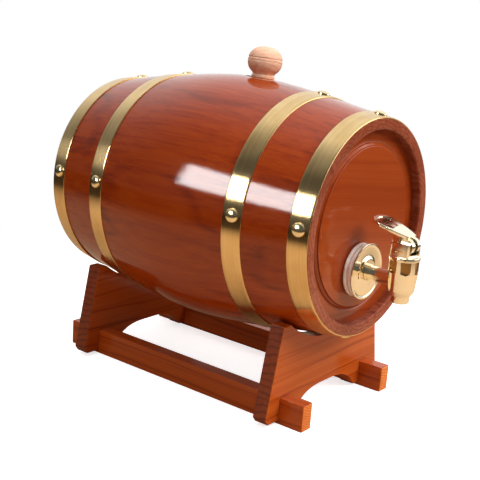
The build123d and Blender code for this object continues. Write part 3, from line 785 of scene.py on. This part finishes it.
# ------------------------------------------------------------------ bung
def make_bung():
    """Flattened ball knob with a scribed line, a beaded neck and a tapered plug."""
    half_across = (high("bung", 1) - low("bung", 1)) / 2
    half_high = 12.6 * MM
    rise = 15.0 * MM
    top = Vector((0, middle("bung", 1), AXIS_Z)) + BUNG_AXIS * (BUNG_SEAT + rise)
    neck = 10.2 * MM
    seat = -rise
    profile = [(seat - 17 * MM, 0), (seat - 17 * MM, 7.3 * MM), (seat - 16.2 * MM, 8.1 * MM),
               (seat - 3 * MM, 9.5 * MM), (seat + 0.3 * MM, 9.5 * MM), (seat + 0.3 * MM, neck - 0.3 * MM),
               (seat + 0.7 * MM, neck), (seat + 2.2 * MM, neck), (seat + 2.9 * MM, neck - 0.5 * MM),
               (seat + 3.5 * MM, neck - 0.9 * MM), (seat + 4.2 * MM, neck - 0.6 * MM)]
    start = math.radians(-48)
    steps = 80
    for k in range(steps + 1):
        a = start + (math.pi / 2 - start) * k / steps
        r = half_across * max(0.0, math.cos(a)) ** 0.9
        h = math.copysign(half_high * abs(math.sin(a)) ** 0.9, a)
        r -= 0.55 * MM * math.exp(-((h - 2.2 * MM) / (0.45 * MM)) ** 2)
        r -= 0.18 * MM * math.exp(-((h + 0.4 * MM) / (0.35 * MM)) ** 2)
        profile.append((h, r if k < steps else 0.0))
    bung = lathe("turned_bung", profile, top, BUNG_AXIS, 128, 50)

    def place(co):
        p = co - top
        return (p.x * 0.35 + p.z * 0.9 + 0.022, p.y * 0.9 + 0.015, p.x * 0.9 - p.z * 0.35 + p.y * 0.4)

    set_grain(bung, place)
    return dress(bung, "bung", ["bung"], BUNG)


make_bung()


# ------------------------------------------------------------------ tap
def make_tap():
    axis_y = middle("valve_stem", 1)
    crown = high("tap_body", 2)
    flute_foot = crown - FLUTE_L
    body = from_cad("tap_body_casting", "tap_body", 0.22 * MM,
                    cuts=(flute_foot - 0.6 * MM, flute_foot - 1.2 * MM))
    # Faces inside the flutes take the darker gold: painted shade in the flutes.
    flute_shade_faces = []
    for face in body.data.polygons:
        out = Vector((face.center.x - TAP_X, face.center.y - axis_y, 0))
        level = crown - 12 * MM < face.center.z < crown - 1.2 * MM
        flute_shade_faces.append(1 if level and 9.5 * MM < out.length < 11.3 * MM else 0)
    dress(body, "barrel", ["tap_body"], GOLD, RECESS_SHADE)
    body.data.polygons.foreach_set("material_index", flute_shade_faces)
    bonnet = from_cad("tap_bonnet_cap", "tap_bonnet", 0.22 * MM)
    # Faces inside the bonnet's slot take the darker gold: painted shade in the slot.
    slot_shade_faces = []
    for face in bonnet.data.polygons:
        aside = abs(face.center.x - TAP_X)
        level = abs(face.center.z - AXIS_Z + SLOT_DROP) < 0.75 * MM
        near = abs(face.center.y - axis_y - 0.6 * MM) < 3.7 * MM
        slot_shade_faces.append(1 if level and near and 8.5 * MM < aside < 9.56 * MM else 0)
    dress(bonnet, "barrel", ["tap_bonnet"], GOLD, RECESS_SHADE)
    bonnet.data.polygons.foreach_set("material_index", slot_shade_faces)
    lever = from_cad("tap_lever_paddle", "tap_lever", 0.3 * MM, 3)
    dress(lever, "lever", ["tap_lever"], GOLD)
    pin = from_cad("tap_lever_pin", "lever_pin", 0.2 * MM)
    dress(pin, "lever", ["lever_pin"], STEEL)
    for node, material in (("valve_stem", STEEL), ("valve_seal", RUBBER), ("stem_o_ring", RUBBER)):
        inner = from_cad("inner_" + node, node)
        dress(inner, "stem", [node], material)
    # The spring stands on the stem's collar and in the tap shortens as the stem rises; here its foot and
    # height are read, but the mesh is not shortened.
    spring = from_cad("inner_return_spring", "return_spring")
    dress(spring, "stem", ["return_spring"], STEEL)
    foot = low("return_spring", 2)
    height = high("return_spring", 2) - foot
    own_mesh(spring)
    for node, material in (("tap_gasket_inner", RUBBER), ("tap_back_nut", NUT)):
        inner = from_cad("inside_" + node, node, 0.2 * MM)
        dress(inner, "barrel", [node], material)


def make_flange():
    """Thin pressed disc: rolled rim, shallow dish and a raised ring round the shank."""
    front = low("tap_flange", 1)
    back = high("tap_flange", 1)
    rim = (high("tap_flange", 0) - low("tap_flange", 0)) / 2
    deep = back - front
    points = rounded([
        (0, THREAD_R), (0, rim - 0.5 * MM), (0.5 * MM, rim), (1.4 * MM, rim - 0.1 * MM),
        (1.5 * MM, rim - 1.6 * MM), (0.9 * MM, rim - 2.6 * MM), (0.9 * MM, 13.5 * MM),
        (1.4 * MM, 12.0 * MM), (deep, 10.6 * MM), (deep, THREAD_R)], 0.5 * MM, 4)
    points.append(points[0])
    flange = lathe("tap_flange_disc", points, (TAP_X, back, TAP_Z), (0, -1, 0), 160)
    return dress(flange, "barrel", ["tap_flange"], GOLD)


def make_gasket():
    """Clear ring with two soft ribs round its edge."""
    front = low("tap_gasket_outer", 1)
    back = high("tap_gasket_outer", 1)
    rim = (high("tap_gasket_outer", 0) - low("tap_gasket_outer", 0)) / 2
    thick = back - front
    points = [(0, THREAD_R)]
    for k in range(33):
        t = k / 32
        fall = 1.5 * MM * (abs(2 * t - 1) ** 6)
        rib = 0.95 * MM * (0.5 - 0.5 * math.cos(4 * math.pi * t))
        points.append((thick * t, rim - 0.95 * MM - fall + rib))
    points.append((thick, THREAD_R))
    points.append(points[0])
    gasket = lathe("clear_gasket_ring", points, (TAP_X, back, TAP_Z), (0, -1, 0), 128, 60)
    return dress(gasket, "barrel", ["tap_gasket_outer"], CLEAR)


make_tap()
make_flange()
make_gasket()


# ------------------------------------------------------------------ stand
def dress_sawn(board, node, face_wood, end_wood, end_axis):
    """Faces square to the grain take the end wood."""
    ends = [1 if abs(f.normal[end_axis]) > 0.8 else 0 for f in board.data.polygons]
    dress(board, "stand", [node], face_wood, end_wood)
    board.data.polygons.foreach_set("material_index", ends)


def make_stand():
    rng = random.Random(5)
    for node in ("stand_panel_front", "stand_panel_rear"):
        board = from_cad("board_" + node, node, 0.9 * MM, 3, 30)
        shift = rng.uniform(0, 3)
        drop = rng.uniform(-0.01, 0.01)

        def place(co, shift=shift, drop=drop, node=node):
            return (co.z + 0.10 + drop, co.y - middle(node, 1) + 0.03, co.x + shift)

        set_grain(board, place)
        dress_sawn(board, node, STAND, STAND_END, 0)
    for node in ("rail_left", "rail_right"):
        rail = from_cad("beam_" + node, node, 0.8 * MM, 3, 30)
        shift = rng.uniform(0, 3)

        def place(co, shift=shift, node=node):
            return (co.z + 0.045, co.x - middle(node, 0) + 0.02, co.y + shift)

        set_grain(rail, place)
        dress_sawn(rail, node, RAIL, RAIL_END, 1)


make_stand()


# ------------------------------------------------------------------ floor, light and camera
def floor_material():
    """Pale floor running out to plain white; what it throws back at the object is warm and dimmer."""
    material = bpy.data.materials.new("pale floor")
    material.use_nodes = True
    nodes, links = material.node_tree.nodes, material.node_tree.links
    nodes.clear()
    seen = nodes.new("ShaderNodeBsdfDiffuse")
    seen.inputs["Color"].default_value = (0.93, 0.93, 0.93, 1)
    glow = nodes.new("ShaderNodeEmission")
    glow.inputs["Color"].default_value = (1, 1, 1, 1)
    glow.inputs["Strength"].default_value = 0.72
    bright = nodes.new("ShaderNodeAddShader")
    links.new(seen.outputs[0], bright.inputs[0])
    links.new(glow.outputs[0], bright.inputs[1])
    white = nodes.new("ShaderNodeEmission")
    white.inputs["Color"].default_value = (1, 1, 1, 1)
    white.inputs["Strength"].default_value = 1.0
    place = nodes.new("ShaderNodeTexCoord")
    reach = nodes.new("ShaderNodeVectorMath")
    reach.operation = "LENGTH"
    links.new(place.outputs["Object"], reach.inputs[0])
    fade = nodes.new("ShaderNodeMapRange")
    fade.interpolation_type = "SMOOTHSTEP"
    fade.inputs["From Min"].default_value = 0.15
    fade.inputs["From Max"].default_value = 0.55
    links.new(reach.outputs["Value"], fade.inputs["Value"])
    shown = nodes.new("ShaderNodeMixShader")
    links.new(fade.outputs[0], shown.inputs[0])
    links.new(bright.outputs[0], shown.inputs[1])
    links.new(white.outputs[0], shown.inputs[2])
    # Past arm's length the floor goes dark, which gives the metal its dark band.
    edge = nodes.new("ShaderNodeMapRange")
    edge.inputs["From Min"].default_value = 0.50
    edge.inputs["From Max"].default_value = 0.85
    edge.inputs["To Min"].default_value = 0.56
    edge.inputs["To Max"].default_value = 0.05
    links.new(reach.outputs["Value"], edge.inputs["Value"])
    tint = nodes.new("ShaderNodeMix")
    tint.data_type = "RGBA"
    tint.blend_type = "MULTIPLY"
    tint.inputs["Factor"].default_value = 1.0
    links.new(edge.outputs[0], tint.inputs["A"])
    tint.inputs["B"].default_value = (1.0, 0.70, 0.44, 1)
    warm = nodes.new("ShaderNodeBsdfDiffuse")
    links.new(tint.outputs["Result"], warm.inputs["Color"])
    path = nodes.new("ShaderNodeLightPath")
    either = nodes.new("ShaderNodeMixShader")
    links.new(path.outputs["Is Camera Ray"], either.inputs[0])
    links.new(warm.outputs[0], either.inputs[1])
    links.new(shown.outputs[0], either.inputs[2])
    out = nodes.new("ShaderNodeOutputMaterial")
    links.new(either.outputs[0], out.inputs[0])
    return material


def make_floor():
    verts = [(0, 0, 0)]
    steps = 64
    for k in range(steps):
        a = 2 * math.pi * k / steps
        verts.append((6 * math.cos(a), 6 * math.sin(a), 0))
    faces = [(0, 1 + k, 1 + (k + 1) % steps) for k in range(steps)]
    floor = mesh_from("floor", verts, faces)
    floor.data.materials.append(floor_material())


def make_world():
    """Bright overhead and to the right, dark to the left, plain white where the camera sees past."""
    world = bpy.data.worlds.new("studio")
    bpy.context.scene.world = world
    world.use_nodes = True
    nodes, links = world.node_tree.nodes, world.node_tree.links
    nodes.clear()
    place = nodes.new("ShaderNodeTexCoord")
    lean = nodes.new("ShaderNodeVectorMath")
    lean.operation = "DOT_PRODUCT"
    links.new(place.outputs["Generated"], lean.inputs[0])
    lean.inputs[1].default_value = (0.76, 0.20, 0.61)
    ramp = nodes.new("ShaderNodeValToRGB")
    links.new(lean.outputs["Value"], ramp.inputs[0])
    band = ramp.color_ramp.elements
    stops = ((0.0, 0.10), (0.10, 0.18), (0.30, 0.32), (0.40, 0.42), (0.54, 0.68), (0.67, 1.0),
             (1.0, 1.08))
    while len(band) < len(stops):
        band.new(0.5)
    for element, (position, level) in zip(band, stops):
        element.position = position
        element.color = (level, level, level, 1)
    soft = nodes.new("ShaderNodeBackground")
    links.new(ramp.outputs[0], soft.inputs["Color"])
    soft.inputs["Strength"].default_value = 1.0
    white = nodes.new("ShaderNodeBackground")
    white.inputs["Color"].default_value = (1, 1, 1, 1)
    path = nodes.new("ShaderNodeLightPath")
    either = nodes.new("ShaderNodeMixShader")
    links.new(path.outputs["Is Camera Ray"], either.inputs[0])
    links.new(soft.outputs[0], either.inputs[1])
    links.new(white.outputs[0], either.inputs[2])
    out = nodes.new("ShaderNodeOutputWorld")
    links.new(either.outputs[0], out.inputs[0])


def area_light(name, place, target, size, power):
    data = bpy.data.lights.new(name, "AREA")
    data.shape = "RECTANGLE"
    data.size, data.size_y = size
    data.energy = power
    lamp = bpy.data.objects.new(name, data)
    bpy.context.scene.collection.objects.link(lamp)
    lamp.location = place
    lamp.rotation_euler = (Vector(target) - Vector(place)).to_track_quat("-Z", "Y").to_euler()
    return lamp


def make_lights():
    """Two lamps that only mirror in the object, then three that only fill it."""
    middle_point = Vector((0, MID_Y, AXIS_Z))
    for name, place, target, size, power in (
            ("side softbox", (-1.40, 0.44, 0.57), (-0.1, -0.05, 0.03), (0.68, 0.46), 21),
            ("front right card", (1.0, -1.3, 0.45), (0, -0.15, -0.03), (1.1, 0.9), 7)):
        lamp = area_light(name, middle_point + Vector(place), middle_point + Vector(target), size, power)
        lamp.visible_diffuse = False
    for name, place, size, power in (
            ("front key", (0.25, -1.25, 1.15), (1.0, 1.0), 28),
            ("top fill", (-0.3, 0.1, 1.5), (0.9, 0.9), 9),
            ("left fill", (-1.5, -0.2, 0.7), (1.0, 1.0), 6)):
        lamp = area_light(name, middle_point + Vector(place), middle_point, size, power)
        lamp.visible_glossy = False


def make_camera():
    """Looks from the tap end's left, a little above, with the frame turned slightly."""
    data = bpy.data.cameras.new("camera")
    data.sensor_width = 36
    data.lens = 73.7
    camera = bpy.data.objects.new("camera", data)
    bpy.context.scene.collection.objects.link(camera)
    around, above, turn = (math.radians(v) for v in (-52.41, 14.44, 4.11))
    back = Vector((math.sin(around) * math.cos(above), -math.cos(around) * math.cos(above),
                   math.sin(above)))
    right = (-back).cross(Vector((0, 0, 1))).normalized()
    up = right.cross(-back)
    right_turned = right * math.cos(turn) + up * math.sin(turn)
    up_turned = up * math.cos(turn) - right * math.sin(turn)
    centre = Vector((-0.6739, MID_Y - 0.5266, AXIS_Z + 0.1810))
    camera.matrix_world = Matrix((
        (right_turned.x, up_turned.x, back.x, centre.x),
        (right_turned.y, up_turned.y, back.y, centre.y),
        (right_turned.z, up_turned.z, back.z, centre.z),
        (0, 0, 0, 1)))
    bpy.context.scene.camera = camera


make_floor()
make_world()
make_lights()
make_camera()
bpy.context.scene.view_settings.view_transform = "Standard"
